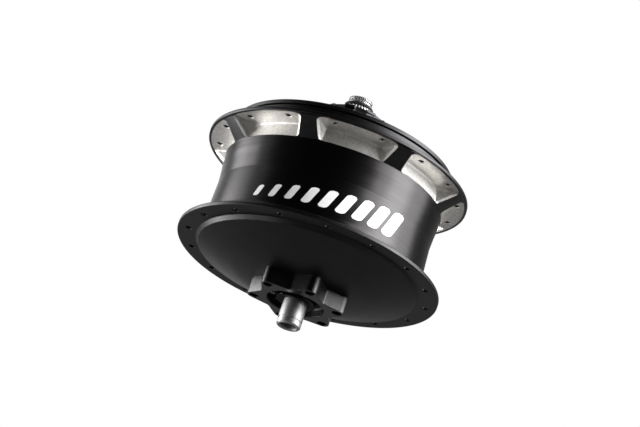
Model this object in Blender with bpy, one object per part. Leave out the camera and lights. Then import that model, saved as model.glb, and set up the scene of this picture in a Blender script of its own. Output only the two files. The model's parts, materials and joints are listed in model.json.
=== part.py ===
"""Bicycle hub gear: a continuously variable planetary rear hub, disc brake version.

The hub axis is +Y, from the driver (sprocket) side to the brake disc side, and the origin is on
the axis, midway between the two ends of the axle. Lengths are named in millimetres and scaled to
metres when a mesh is made. "a" is a position along the axis and "r" a distance from it.
"""
import math

import bmesh
import bpy
from mathutils import Matrix, Vector

MM = 0.001
GAP = 0.3                      # clearance between pieces that touch on the real hub

# Driving dimensions, in mm and degrees
AXLE_HALF = 65.0               # the axle and its shift shaft measure 130 mm over the ends
SPOKE_CIRCLE_R = 63.0          # spoke holes lie on a 126 mm circle
SPOKES_PER_FLANGE = 16
SPOKE_HOLE_R = 1.45
PHASE = 18.95                  # angle of the first brake side spoke hole and first pocket
FLANGE_R = 68.8
BRAKE_FLANGE_FACE = 32.0
DRIVE_FLANGE_FACE = -23.5
DRIVE_FLANGE_UNDERSIDE = -21.6
BARREL_END = -13.5             # where the drive flange starts to flare
POCKETS = 8
POCKET_WALL_R = 55.0
SHELL_BORE_R = 52.4
COVER_BORE_R = 53.4
SHELL_END = -31.0
COVER_R = 57.93
BOSS_FACE = 52.4               # seat of the brake disc
BOLT_CIRCLE_R = 22.0           # six bolts on the standard 44 mm circle
BOLT_HOLE_R = 2.5
BOSS_BOLTS = 6
BOSS_PHASE = 30.0
BEARING_BORE_R = 14.9
AXLE_R = 8.0
SHIFT_BORE_R = 3.4
SHIFT_STEM_R = 3.0
SHIFT_HEAD_R = 6.3
DRIVER_R = 20.3
SPLINE_TIP_R = 17.4
SPLINE_ROOT_R = 16.3
DRIVER_SPLINES = 9
DRIVER_END = -54.3

# Variable planetary: balls roll between two traction rings and an idler, and their axles tilt
PLANETS = 6
BALL_R = 13.0
BALL_CIRCLE_R = 30.0
BALL_BORE_R = 3.1
PLANET_AXLE_R = 2.75
PLANET_AXLE_HALF = 18.3
STATOR_R = 42.0
STATOR_INNER_FACE = 15.0
STATOR_THICKNESS = 4.0
TILT_MAX = math.radians(18.0)
TILT_PER_SHIFT = 2.0           # planet tilt for each degree that the shift shaft turns
SLOT_HALF_WIDTH = 3.6
PIN_A = -17.0                  # shift pin, through slots in the axle
PIN_R = 1.2
PIN_ANGLE = 30.0

FINE = 48                      # facets round the large outer pieces
MEDIUM = 32
SMALL = 20


def clear_scene():
    for obj in list(bpy.data.objects):
        bpy.data.objects.remove(obj, do_unlink=True)


def material(name, color, roughness, metallic):
    mat = bpy.data.materials.new(name)
    mat.use_nodes = True
    shader = mat.node_tree.nodes["Principled BSDF"]
    shader.inputs["Base Color"].default_value = (*color, 1.0)
    shader.inputs["Roughness"].default_value = roughness
    shader.inputs["Metallic"].default_value = metallic
    mat.diffuse_color = (*color, 1.0)
    return mat


def make_materials():
    return {
        "black_anodised": material("black_anodised", (0.015, 0.015, 0.016), 0.35, 0.8),
        "black_steel": material("black_steel", (0.02, 0.02, 0.022), 0.4, 0.9),
        "bright_steel": material("bright_steel", (0.72, 0.72, 0.73), 0.25, 1.0),
        "ground_steel": material("ground_steel", (0.55, 0.56, 0.58), 0.2, 1.0),
        "cast_aluminium": material("cast_aluminium", (0.6, 0.6, 0.6), 0.45, 1.0),
        "black_rubber": material("black_rubber", (0.02, 0.02, 0.02), 0.7, 0.0),
        "bronze": material("bronze", (0.45, 0.3, 0.14), 0.35, 1.0),
    }


def polar(r, degrees, a):
    """A point at radius r, turned from +X towards +Z, at a along the axis (mm)."""
    angle = math.radians(degrees)
    return (r * math.cos(angle), a, r * math.sin(angle))


def ring_angles(count, first=0.0):
    return [first + 360.0 * i / count for i in range(count)]


def finish_object(name, bm, mat, smooth_angle=35.0):
    bmesh.ops.remove_doubles(bm, verts=bm.verts, dist=1e-7)
    bmesh.ops.recalc_face_normals(bm, faces=bm.faces)
    mesh = bpy.data.meshes.new(name)
    bm.to_mesh(mesh)
    bm.free()
    mesh.shade_smooth()
    mesh.set_sharp_from_angle(angle=math.radians(smooth_angle))
    obj = bpy.data.objects.new(name, mesh)
    bpy.context.scene.collection.objects.link(obj)
    if mat is not None:
        mesh.materials.append(mat)
    return obj


def add_turned(bm, profile, segments, centre=(0.0, 0.0)):
    """Spin a profile of (a, r) points about the line through centre=(x, z), parallel to +Y.

    A profile that starts and ends on the axis is an open chain; any other is a closed loop.
    """
    x0, z0 = centre
    verts = [bm.verts.new(((x0 + r) * MM, a * MM, z0 * MM)) for a, r in profile]
    edges = [bm.edges.new(pair) for pair in zip(verts, verts[1:])]
    if profile[0][1] > 0.0 or profile[-1][1] > 0.0:
        edges.append(bm.edges.new((verts[-1], verts[0])))
    bmesh.ops.spin(bm, geom=verts + edges, cent=(x0 * MM, 0.0, z0 * MM), axis=(0.0, 1.0, 0.0),
                   angle=2.0 * math.pi, steps=segments, use_merge=True)


def turned(name, profile, mat, segments=MEDIUM):
    bm = bmesh.new()
    add_turned(bm, profile, segments)
    return finish_object(name, bm, mat)


def add_loft(bm, rings):
    """Skin a list of equal rings of (x, y, z) points in mm, and cap both ends."""
    loops = [[bm.verts.new([c * MM for c in point]) for point in ring] for ring in rings]
    for low, high in zip(loops, loops[1:]):
        for i in range(len(low)):
            j = (i + 1) % len(low)
            bm.faces.new((low[i], low[j], high[j], high[i]))
    bm.faces.new(loops[0])
    bm.faces.new(loops[-1])


def add_prism(bm, outline, a0, a1):
    """Extrude an outline of (x, z) points from a0 to a1."""
    add_loft(bm, [[(x, a, z) for x, z in outline] for a in (a0, a1)])


def prism(name, outline, a0, a1, mat):
    bm = bmesh.new()
    add_prism(bm, outline, a0, a1)
    return finish_object(name, bm, mat)


def turned_box(r0, r1, half_width, degrees):
    """Outline of a box that reaches from r0 to r1 along the direction at an angle from +X."""
    angle = math.radians(degrees)
    corners = [(r0, -half_width), (r1, -half_width), (r1, half_width), (r0, half_width)]
    return [(u * math.cos(angle) - v * math.sin(angle), u * math.sin(angle) + v * math.cos(angle))
            for u, v in corners]


def add_rod(bm, start, end, radius, sides):
    """A cylinder between two points, in mm."""
    start, end = Vector(start) * MM, Vector(end) * MM
    along = end - start
    place = Matrix.Translation((start + end) / 2) @ along.to_track_quat("Z", "Y").to_matrix().to_4x4()
    bmesh.ops.create_cone(bm, cap_ends=True, segments=sides, radius1=radius * MM,
                          radius2=radius * MM, depth=along.length, matrix=place)


def modify(obj, operation, tool):
    """Cut a tool from an object, or join it on; the tool itself is only a helper."""
    tool.hide_render = True
    tool.display_type = "WIRE"
    boolean = obj.modifiers.new(tool.name, "BOOLEAN")
    boolean.operation = operation
    boolean.object = tool


def helper(name, bm):
    return finish_object(name, bm, None)


def toothed_outline(teeth, root_r, tip_r, tip_share, flank_share):
    """A ring of teeth; the shares are parts of one pitch, and the rest is the gap."""
    points = []
    pitch = 360.0 / teeth
    for i in range(teeth):
        middle = i * pitch
        for r, offset in ((root_r, -tip_share / 2 - flank_share), (tip_r, -tip_share / 2),
                          (tip_r, tip_share / 2), (root_r, tip_share / 2 + flank_share)):
            x, _, z = polar(r, middle + offset * pitch, 0.0)
            points.append((x, z))
    return points


def circle_points(centre_a, centre_r, radius, sides):
    """Cross-section of a ring with a round section."""
    return [(centre_a + radius * math.cos(t), centre_r + radius * math.sin(t))
            for t in (2.0 * math.pi * i / sides for i in range(sides))]


# ---- shell -----------------------------------------------------------------------------------

def shell_profile():
    dome_outside = [(44.4, 0.0), (44.4, 16.0), (43.9, 26.0), (41.7, 36.0), (38.6, 46.0),
                    (34.8, 56.9)]
    brake_flange = [(BRAKE_FLANGE_FACE, 58.8), (BRAKE_FLANGE_FACE, FLANGE_R - 0.5),
                    (BRAKE_FLANGE_FACE - 0.5, FLANGE_R), (30.2, FLANGE_R), (29.7, FLANGE_R - 0.5),
                    (29.7, 62.6), (28.9, 60.2), (27.0, 58.3), (23.5, 57.2)]
    barrel = [(14.0, 56.8), (5.5, 56.3), (-1.0, 56.5), (-5.2, 56.8), (-6.2, 57.2),
              (BARREL_END, 57.5)]
    drive_flange = [(DRIVE_FLANGE_UNDERSIDE, 67.3), (-22.1, FLANGE_R), (-23.1, FLANGE_R),
                    (DRIVE_FLANGE_FACE, FLANGE_R - 0.4), (DRIVE_FLANGE_FACE, 59.2), (-24.3, 57.9),
                    (-25.6, 57.3), (SHELL_END, 57.3)]
    seal_step = [(SHELL_END, 55.4), (-28.9, 55.4), (-28.9, COVER_BORE_R)]
    inside = [(-20.5, COVER_BORE_R), (-20.5, SHELL_BORE_R), (28.5, SHELL_BORE_R), (32.5, 48.5),
              (38.0, 33.0), (39.2, 26.0), (39.2, 0.0)]
    return dome_outside + brake_flange + barrel + drive_flange + seal_step + inside


def boss_outline():
    """Six lobes, one round each bolt; each half lobe runs tip, corner, flank, fillet, valley."""
    half_lobe = [(25.9, 3.1), (25.3, 4.1), (20.9, 5.1), (19.3, 6.0), (17.9, 7.4)]
    valley_r = 18.8
    points = []
    for middle in ring_angles(BOSS_BOLTS, BOSS_PHASE):
        lobe = [(u, -v) for u, v in reversed(half_lobe)] + half_lobe
        angle = math.radians(middle)
        for u, v in lobe:
            points.append((u * math.cos(angle) - v * math.sin(angle),
                           u * math.sin(angle) + v * math.cos(angle)))
        x, _, z = polar(valley_r, middle + 180.0 / BOSS_BOLTS, 0.0)
        points.append((x, z))
    return points


def pocket_ring(middle, a, inset):
    """Outline of a flange pocket at height a; inset draws its walls in, for fillets."""
    wall = [(0.0, 6.5), (0.0, 13.0), (0.4, 15.2), (1.4, 16.4), (12.2, 18.5), (25.0, 20.5)]
    half = []
    for depth, degrees in wall:
        r = POCKET_WALL_R + depth + (inset if depth < 10.0 else 0.0)
        half.append((r, degrees - math.degrees(inset / r)))
    ring = [polar(r, middle - d, a) for r, d in reversed(half)]
    ring += [polar(POCKET_WALL_R + inset, middle, a)]
    ring += [polar(r, middle + d, a) for r, d in half]
    return ring


def pocket_cutter():
    bm = bmesh.new()
    levels = [(DRIVE_FLANGE_UNDERSIDE, 1.6), (DRIVE_FLANGE_UNDERSIDE + 0.5, 0.5),
              (DRIVE_FLANGE_UNDERSIDE + 1.8, 0.0), (BARREL_END - 2.5, 0.0), (BARREL_END + 0.1, 2.3)]
    for middle in ring_angles(POCKETS, PHASE):
        add_loft(bm, [pocket_ring(middle, a, inset) for a, inset in levels])
    return helper("pocket_cutter", bm)


def holes_cutter(name, count, first, circle_r, hole_r, a0, a1, sides):
    bm = bmesh.new()
    for degrees in ring_angles(count, first):
        add_rod(bm, polar(circle_r, degrees, a0), polar(circle_r, degrees, a1), hole_r, sides)
    return helper(name, bm)


def make_hub_shell(mats):
    shell = turned("hub_shell", shell_profile(), mats["black_anodised"], FINE)
    boss = prism("boss_block", boss_outline(), 42.0, BOSS_FACE, None)
    modify(shell, "UNION", boss)
    bearing_bore = [(BOSS_FACE + 1.0, 0.0), (BOSS_FACE + 1.0, BEARING_BORE_R),
                    (40.9, BEARING_BORE_R), (40.9, 12.4), (38.0, 12.4), (38.0, 0.0)]
    modify(shell, "DIFFERENCE", turned("bearing_bore", bearing_bore, None, 24))
    modify(shell, "DIFFERENCE", holes_cutter("bolt_holes", BOSS_BOLTS, BOSS_PHASE, BOLT_CIRCLE_R,
                                             BOLT_HOLE_R, 43.4, BOSS_FACE + 1.0, 12))
    modify(shell, "DIFFERENCE", pocket_cutter())
    drive_phase = PHASE + 180.0 / SPOKES_PER_FLANGE
    modify(shell, "DIFFERENCE",
           holes_cutter("brake_spoke_holes", SPOKES_PER_FLANGE, PHASE, SPOKE_CIRCLE_R,
                        SPOKE_HOLE_R, BRAKE_FLANGE_FACE - 4.0, BRAKE_FLANGE_FACE + 1.0, 8))
    modify(shell, "DIFFERENCE",
           holes_cutter("drive_spoke_holes", SPOKES_PER_FLANGE, drive_phase, SPOKE_CIRCLE_R,
                        SPOKE_HOLE_R, DRIVE_FLANGE_FACE - 1.0, DRIVE_FLANGE_FACE + 4.0, 8))


def make_cover(mats):
    profile = [(-31.4, 57.6), (-31.4, 53.0), (-25.5, 53.0), (-25.5, 50.2), (-30.2, 49.5),
               (-34.8, 30.0), (-35.4, 25.5), (-35.4, 23.2), (-44.0, 23.2), (-44.0, 26.6),
               (-38.9, 27.2), (-38.2, 30.0), (-34.4, 53.5), (-33.8, 57.4), (-33.3, COVER_R),
               (-31.7, COVER_R)]
    cover = turned("hub_cover", profile, mats["black_anodised"], FINE)
    notches = 8
    bm = bmesh.new()
    for degrees in ring_angles(notches, 11.0):
        add_prism(bm, turned_box(22.0, 29.0, 1.9, degrees), -45.0, -42.4)
    modify(cover, "DIFFERENCE", helper("tool_notches", bm))
    turned("cover_seal", circle_points(-30.0, 54.4, 0.7, 6), mats["black_rubber"])
    turned("cover_bush", [(-36.0, 20.7), (-36.0, 22.9), (-43.6, 22.9), (-43.6, 20.7)],
           mats["bronze"])


# ---- bearings --------------------------------------------------------------------------------

def make_bearing(prefix, a0, a1, inner_r, inner_top_r, outer_bottom_r, outer_r, ball_r, balls, mats):
    """Two grooved races and a cage of balls between them."""
    middle = (a0 + a1) / 2
    ball_circle = (inner_top_r + outer_bottom_r) / 2
    groove_r = ball_r + GAP
    half_groove = math.sqrt(groove_r ** 2 - (ball_circle - inner_top_r) ** 2)
    inner = [(a0, inner_r), (a0, inner_top_r), (middle - half_groove, inner_top_r),
             (middle - half_groove / 2, ball_circle - groove_r),
             (middle + half_groove / 2, ball_circle - groove_r),
             (middle + half_groove, inner_top_r), (a1, inner_top_r), (a1, inner_r)]
    outer = [(a0, outer_r), (a0, outer_bottom_r), (middle - half_groove, outer_bottom_r),
             (middle - half_groove / 2, ball_circle + groove_r),
             (middle + half_groove / 2, ball_circle + groove_r),
             (middle + half_groove, outer_bottom_r), (a1, outer_bottom_r), (a1, outer_r)]
    turned(prefix + "_inner_race", inner, mats["ground_steel"], SMALL)
    turned(prefix + "_outer_race", outer, mats["ground_steel"], 24)
    half_band = ball_circle - inner_top_r - GAP
    band = [(middle - 0.7, ball_circle - half_band), (middle + 0.7, ball_circle - half_band),
            (middle + 0.7, ball_circle + half_band), (middle - 0.7, ball_circle + half_band)]
    cage = turned(prefix + "_ball_cage", band, mats["ground_steel"], SMALL)
    bm = bmesh.new()
    for degrees in ring_angles(balls, 7.0):
        centre = Matrix.Translation(Vector(polar(ball_circle, degrees, middle)) * MM)
        bmesh.ops.create_icosphere(bm, subdivisions=1, radius=ball_r * MM, matrix=centre)
    modify(cage, "UNION", helper(prefix + "_balls", bm))


# ---- axle and what is fixed to it ------------------------------------------------------------

def make_axle(mats):
    brake_bore = [(42.0, 0.0), (44.4, 4.2), (64.2, 4.2)]
    brake_end = [(AXLE_HALF, 4.85), (AXLE_HALF, 6.1), (64.75, 6.3), (62.2, 6.3), (62.2, 5.9),
                 (61.4, 5.9), (61.4, 6.3), (48.2, 6.3), (48.2, 7.5), (41.0, 7.5), (41.0, 8.8),
                 (38.5, 8.8), (38.5, AXLE_R)]
    circlip_groove = [(20.9, AXLE_R), (20.9, 7.1), (19.5, 7.1), (19.5, AXLE_R)]
    drive_end = [(-37.5, AXLE_R), (-37.5, 7.0), (-53.2, 7.0), (-53.2, 5.2), (-61.2, 5.2),
                 (-61.2, SHIFT_BORE_R), (-11.0, SHIFT_BORE_R), (-10.0, 0.0)]
    axle = turned("axle", brake_bore + brake_end + circlip_groove + drive_end,
                  mats["bright_steel"], 24)
    bm = bmesh.new()
    add_prism(bm, turned_box(-12.0, 12.0, 3.2, PIN_ANGLE), PIN_A - PIN_R - 0.5,
              PIN_A + PIN_R + 0.5)
    modify(axle, "DIFFERENCE", helper("pin_slot", bm))


def make_axle_fittings(mats):
    nut_profile = [(48.5, 6.65), (48.5, 10.0), (48.9, 10.3), (51.2, 10.3), (51.6, 9.9),
                   (51.6, 6.65)]
    nut = turned("brake_locknut", nut_profile, mats["black_steel"], 24)
    bm = bmesh.new()
    flat_distance = 8.5
    for side in (-1.0, 1.0):
        outline = [(flat_distance * side, -8.0), (12.0 * side, -8.0), (12.0 * side, 8.0),
                   (flat_distance * side, 8.0)]
        add_prism(bm, outline, 49.6, 52.6)
    modify(nut, "DIFFERENCE", helper("spanner_flats", bm))

    teeth = toothed_outline(20, 7.05, 7.6, 0.3, 0.2)
    locknut = prism("drive_locknut", teeth, -59.4, -54.9, mats["bright_steel"])
    bore = [(-53.9, 0.0), (-53.9, 5.5), (-60.4, 5.5), (-60.4, 0.0)]
    modify(locknut, "DIFFERENCE", turned("locknut_bore", bore, None, SMALL))
    turned("shift_seal", [(-59.7, 5.5), (-59.7, 7.4), (-60.0, 7.65), (-60.9, 7.65), (-61.2, 7.4),
                          (-61.2, 5.5)], mats["black_rubber"], 24)
    turned("drive_spacer", [(-46.2, 7.3), (-46.2, 9.1), (-52.8, 9.1), (-52.8, 7.3)],
           mats["ground_steel"], SMALL)
    turned("input_bush", [(-24.3, 8.3), (-24.3, 10.1), (-35.5, 10.1), (-35.5, 8.3)],
           mats["bronze"], 24)
    clip = turned("stator_circlip", [(19.8, 7.4), (19.8, 10.4), (20.6, 10.4), (20.6, 7.4)],
                  mats["ground_steel"], SMALL)
    bm = bmesh.new()
    add_prism(bm, [(-1.6, -6.0), (1.6, -6.0), (1.6, -12.0), (-1.6, -12.0)], 19.0, 21.4)
    modify(clip, "DIFFERENCE", helper("circlip_gap", bm))


# ---- variable planetary ----------------------------------------------------------------------

def slot_outline(middle, skew):
    """A slot for a planet axle; skew is its turn in radians for each mm of radius."""
    reach = (STATOR_INNER_FACE + STATOR_THICKNESS / 2) * math.tan(TILT_MAX) + 0.3
    steps = 3
    centre_line = []
    for i in range(steps + 1):
        rho = BALL_CIRCLE_R - reach + 2.0 * reach * i / steps
        turn = skew * (rho - BALL_CIRCLE_R)
        angle = math.radians(middle) + turn
        point = Vector((rho * math.cos(angle), rho * math.sin(angle)))
        slope = math.atan(rho * skew)
        along = Vector((math.cos(angle + slope), math.sin(angle + slope)))
        centre_line.append((point, along))
    left, right = [], []
    for point, along in centre_line:
        across = Vector((-along.y, along.x)) * SLOT_HALF_WIDTH
        left.append(point + across)
        right.append(point - across)
    ends = []
    for (point, along), start in ((centre_line[-1], -90.0), (centre_line[0], 90.0)):
        base = math.atan2(along.y, along.x)
        for degrees in (45.0, 90.0, 135.0):
            t = base + math.radians(start + degrees)
            ends.append(point + Vector((math.cos(t), math.sin(t))) * SLOT_HALF_WIDTH)
    outline = right + ends[:3] + left[::-1] + ends[3:]
    return [(p.x, p.y) for p in outline]


def make_stator(name, profile, skew, mats):
    stator = turned(name, profile, mats["ground_steel"], MEDIUM)
    side = 1.0 if profile[0][0] > 0.0 else -1.0
    bm = bmesh.new()
    for middle in ring_angles(PLANETS):
        add_prism(bm, slot_outline(middle, skew), side * (STATOR_INNER_FACE - 1.0),
                  side * (STATOR_INNER_FACE + STATOR_THICKNESS + 1.0))
    modify(stator, "DIFFERENCE", helper(name + "_slots", bm))
    return stator


def pin_hole(name, radius):
    bm = bmesh.new()
    add_rod(bm, polar(20.0, PIN_ANGLE, PIN_A), polar(20.0, PIN_ANGLE + 180.0, PIN_A), radius, 12)
    return helper(name, bm)


def make_stators(mats):
    near, far = STATOR_INNER_FACE, STATOR_INNER_FACE + STATOR_THICKNESS
    fixed = [(near, AXLE_R + GAP), (near, STATOR_R), (far, STATOR_R), (far, AXLE_R + GAP)]
    make_stator("fixed_stator", fixed, 0.0, mats)
    hub_r = 12.6
    skewed = [(-13.5, AXLE_R + GAP), (-13.5, hub_r), (-near, hub_r), (-near, STATOR_R),
              (-far, STATOR_R), (-far, hub_r), (-20.6, hub_r), (-20.6, AXLE_R + GAP)]
    lever = STATOR_INNER_FACE + STATOR_THICKNESS / 2
    skew = TILT_MAX / TILT_PER_SHIFT / (lever * math.tan(TILT_MAX))
    stator = make_stator("skew_stator", skewed, skew, mats)
    modify(stator, "DIFFERENCE", pin_hole("stator_pin_hole", PIN_R + GAP))


def traction_ring(name, side, mats):
    """A ring whose 45 degree face meets the balls; side is +1 at the brake end."""
    contact = BALL_R * math.sqrt(0.5) + GAP
    half_face = 1.6
    profile = [(contact + half_face, BALL_CIRCLE_R + contact - half_face),
               (contact - half_face, BALL_CIRCLE_R + contact + half_face),
               (contact - half_face, 49.0), (14.0, 49.0), (14.0, 43.0), (12.6, 40.4)]
    turned(name, [(side * a, r) for a, r in profile], mats["ground_steel"], MEDIUM)


def roller_cage(name, side, mats):
    rollers = 6
    band = [(15.2, 43.8), (16.4, 43.8), (16.4, 49.6), (15.2, 49.6)]
    cage = turned(name, [(side * a, r) for a, r in band], mats["ground_steel"], MEDIUM)
    bm = bmesh.new()
    for degrees in ring_angles(rollers, 4.0):
        add_rod(bm, polar(44.3, degrees, side * 15.8), polar(48.9, degrees, side * 15.8), 1.4, 6)
    modify(cage, "UNION", helper(name + "_rollers", bm))


def make_cams(mats):
    output = [(17.6, 43.2), (17.6, 51.9), (28.0, 51.9), (28.0, 48.6), (21.4, 48.6), (21.4, 43.2)]
    turned("output_cam", output, mats["ground_steel"], MEDIUM)
    sleeve_r = 13.6
    driven = [(-17.6, 43.2), (-17.6, 51.5), (-24.0, 51.5), (-24.0, sleeve_r), (-35.8, sleeve_r),
              (-35.8, 10.4), (-21.4, 10.4), (-21.4, 43.2)]
    turned("input_cam", driven, mats["ground_steel"], MEDIUM)
    for name, side in (("output_roller_cage", 1.0), ("input_roller_cage", -1.0)):
        roller_cage(name, side, mats)
    for name, side in (("output_ring", 1.0), ("input_ring", -1.0)):
        traction_ring(name, side, mats)


def make_planets(mats):
    idler_r = BALL_CIRCLE_R - BALL_R - GAP
    idler = [(-6.5, AXLE_R + 0.4), (-6.5, idler_r), (6.5, idler_r), (6.5, AXLE_R + 0.4)]
    turned("idler_ring", idler, mats["ground_steel"], MEDIUM)
    rings = 6
    bore_angle = math.asin(BALL_BORE_R / BALL_R)
    surface = []
    for i in range(rings + 1):
        t = bore_angle + (math.pi - 2.0 * bore_angle) * i / rings
        surface.append((BALL_R * math.cos(t), BALL_R * math.sin(t)))
    rod = [(-PLANET_AXLE_HALF, 0.0), (-PLANET_AXLE_HALF, PLANET_AXLE_R - 0.7),
           (-PLANET_AXLE_HALF + 0.7, PLANET_AXLE_R), (PLANET_AXLE_HALF - 0.7, PLANET_AXLE_R),
           (PLANET_AXLE_HALF, PLANET_AXLE_R - 0.7), (PLANET_AXLE_HALF, 0.0)]
    for k, degrees in enumerate(ring_angles(PLANETS), start=1):
        x, _, z = polar(BALL_CIRCLE_R, degrees, 0.0)
        for name, profile, sides in (("planet_ball_%d" % k, surface, 14),
                                     ("planet_axle_%d" % k, rod, 10)):
            bm = bmesh.new()
            add_turned(bm, profile, sides)
            obj = finish_object(name, bm, mats["ground_steel"], 60.0)
            obj.location = (x * MM, 0.0, z * MM)


# ---- driver, clutch and shifter --------------------------------------------------------------

def make_driver(mats):
    profile = [(-28.0, 16.8), (-28.0, DRIVER_R), (-44.5, DRIVER_R), (-44.5, 21.6), (-47.4, 21.6),
               (-47.4, 16.0), (DRIVER_END, 16.0), (DRIVER_END, 14.0), (-39.5, 14.0), (-39.5, 9.6),
               (-36.5, 9.6), (-36.5, 16.8)]
    driver = turned("freewheel_body", profile, mats["black_steel"], MEDIUM)
    splines = toothed_outline(DRIVER_SPLINES, SPLINE_ROOT_R, SPLINE_TIP_R, 0.42, 0.05)
    modify(driver, "UNION", prism("driver_splines", splines, DRIVER_END, -47.0, None))
    bore = [(DRIVER_END - 1.0, 0.0), (DRIVER_END - 1.0, 14.0), (-40.0, 14.0), (-40.0, 0.0)]
    modify(driver, "DIFFERENCE", turned("driver_bore", bore, None, MEDIUM))
    groove = [(-52.0, 16.5), (-52.0, 19.0), (-53.0, 19.0), (-53.0, 16.5)]
    modify(driver, "DIFFERENCE", turned("snap_ring_groove", groove, None, MEDIUM))
    turned("driver_dust_cap", [(-49.4, 9.5), (-49.4, 13.6), (-51.6, 13.6), (-51.6, 9.5)],
           mats["black_rubber"], 24)

    band = [(-29.4, 14.7), (-29.4, 15.8), (-35.0, 15.8), (-35.0, 14.7)]
    cage = turned("clutch_roller_cage", band, mats["ground_steel"], MEDIUM)
    bm = bmesh.new()
    for degrees in ring_angles(6, 11.0):
        add_rod(bm, polar(15.25, degrees, -28.9), polar(15.25, degrees, -35.5), 1.1, 6)
    modify(cage, "UNION", helper("clutch_rollers", bm))


def make_shifter(mats):
    stem = [(-AXLE_HALF, 0.0), (-AXLE_HALF, 5.6), (-62.0, 5.6), (-61.5, 5.2),
            (-61.5, SHIFT_STEM_R), (-12.6, SHIFT_STEM_R), (-12.0, SHIFT_STEM_R - 0.6),
            (-12.0, 0.0)]
    shaft = turned("shift_shaft", stem, mats["bright_steel"], SMALL)
    knurl = toothed_outline(24, SHIFT_HEAD_R - 0.35, SHIFT_HEAD_R, 0.3, 0.2)
    modify(shaft, "UNION", prism("shift_knurl", knurl, -AXLE_HALF + 0.2, -61.5, None))
    modify(shaft, "DIFFERENCE", pin_hole("shaft_pin_hole", PIN_R + GAP))
    bm = bmesh.new()
    reach = 12.0
    add_rod(bm, polar(reach, PIN_ANGLE, PIN_A), polar(reach, PIN_ANGLE + 180.0, PIN_A), PIN_R, 12)
    finish_object("shift_pin", bm, mats["bright_steel"])


def main():
    clear_scene()
    mats = make_materials()
    make_hub_shell(mats)
    make_cover(mats)
    make_bearing("brake_bearing", 41.3, 47.3, 7.8, 9.9, 12.3, 14.6, 1.75, 7, mats)
    clip_profile = [(48.0, 13.2), (48.0, 14.6), (49.0, 14.6), (49.0, 13.2)]
    turned("bearing_snap_ring", clip_profile, mats["bright_steel"], 24)
    make_bearing("driver_bearing", -45.8, -39.8, 7.3, 9.2, 11.6, 13.7, 1.65, 7, mats)
    make_axle(mats)
    make_axle_fittings(mats)
    make_stators(mats)
    make_cams(mats)
    make_planets(mats)
    make_driver(mats)
    make_shifter(mats)


main()
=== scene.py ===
"""Looks of the bicycle hub gear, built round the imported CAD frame.

The hub axis is +Y. Lengths are in millimetres and are scaled when a mesh is made, while the
camera, the stage and the lights are in metres. "a" is a position along the axis, "r" a distance
from it, and angles are in degrees and turn from +X towards +Z. A profile point is (a, r) or
(a, r, fillet), and an outline point is (x, z) or (x, z, fillet).
"""

import json
import math

import bmesh
import bpy
from mathutils import Matrix, Vector


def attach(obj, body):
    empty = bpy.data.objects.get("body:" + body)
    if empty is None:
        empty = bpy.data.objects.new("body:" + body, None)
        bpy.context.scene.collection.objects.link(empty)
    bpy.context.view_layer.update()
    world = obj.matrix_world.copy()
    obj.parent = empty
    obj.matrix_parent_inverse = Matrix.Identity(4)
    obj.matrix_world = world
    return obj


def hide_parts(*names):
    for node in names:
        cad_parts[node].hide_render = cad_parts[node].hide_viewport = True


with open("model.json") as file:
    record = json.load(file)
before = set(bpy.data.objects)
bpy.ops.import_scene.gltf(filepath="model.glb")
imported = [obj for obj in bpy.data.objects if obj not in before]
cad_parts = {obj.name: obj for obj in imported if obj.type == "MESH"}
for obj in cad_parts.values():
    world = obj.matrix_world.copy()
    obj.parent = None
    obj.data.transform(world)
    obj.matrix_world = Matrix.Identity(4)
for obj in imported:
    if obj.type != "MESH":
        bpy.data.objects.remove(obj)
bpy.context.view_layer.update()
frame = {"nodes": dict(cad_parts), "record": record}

MM = 0.001
EDGE = 0.3                     # fillet of a corner that names none
LEAST_FILLET = 0.1             # of an outline that is drawn in
SHARP_ANGLE = 32.0             # between two faces, where shading stops being smooth
ROUND = 224                    # facets round the large pieces
SMALL_ROUND = 96
ARC_STEPS = 4                  # facets of a fillet on a turned piece
BLOCK_STEPS = 2                # facets of a fillet on an extruded piece
WELD = 1e-7                    # metres; points of a mesh that are closer become one

# Driving dimensions, shared with the CAD where nothing else is said
AXLE_HALF = 65.0
SPOKE_CIRCLE_R = 63.0
SPOKES_PER_FLANGE = 16
SPOKE_HOLE_R = 1.6             # 1.45 in the CAD
HOLE_CHAMFER = 0.2             # only here
PHASE = 18.95                  # angle of the first brake side spoke hole and first pocket
FLANGE_R = 68.8
BRAKE_FLANGE_FACE = 32.0
BRAKE_FLANGE_BACK = 29.7
DRIVE_FLANGE_FACE = -23.5
DRIVE_FLANGE_UNDERSIDE = -21.6
BARREL_END = -13.5             # where the drive flange starts to flare
BARREL_R = 57.5
FLARE_R = 67.3                 # where the flare meets the rim of the drive flange
POCKETS = 8
POCKET_WALL_R = 55.0
SHELL_BORE_R = 52.4
COVER_BORE_R = 53.4
SHELL_END = -31.0
COVER_R = 57.93
COVER_NOTCHES = 8
BOSS_FACE = 52.4
BOLT_CIRCLE_R = 22.0
BOLT_HOLE_R = 2.5
BOSS_BOLTS = 6
BOSS_PHASE = 30.0
BEARING_BORE_R = 14.9
AXLE_R = 8.0
NOSE_R = 6.3                   # the axle's bright end
SHIFT_BORE_R = 3.4
SHIFT_STEM_R = 3.0
SHIFT_HEAD_R = 6.3
PIN_A = -17.0                  # the shift pin, through the shaft and a slot in the axle
PIN_ANGLE = 30.0
DRIVER_R = 20.3
SPLINE_TIP_R = 17.4
SPLINE_ROOT_R = 16.3
DRIVER_SPLINES = 9
DRIVER_END = -54.3

BODIES = frame["record"]["behaviour"]["bodies"]
BODY_OF = {node: body for body, nodes in BODIES.items() for node in nodes}


# ---- camera, floor and light, in metres --------------------------------------------------------

CAMERA_AZIMUTH = 112.416
CAMERA_ELEVATION = 15.027
CAMERA_ROLL = 101.949
CAMERA_AIM = (0.000134, 0.001285, -0.002287)
CAMERA_DISTANCE = 1.62646
LENS = 179.76                  # mm
SENSOR = 36.0                  # mm

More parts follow.
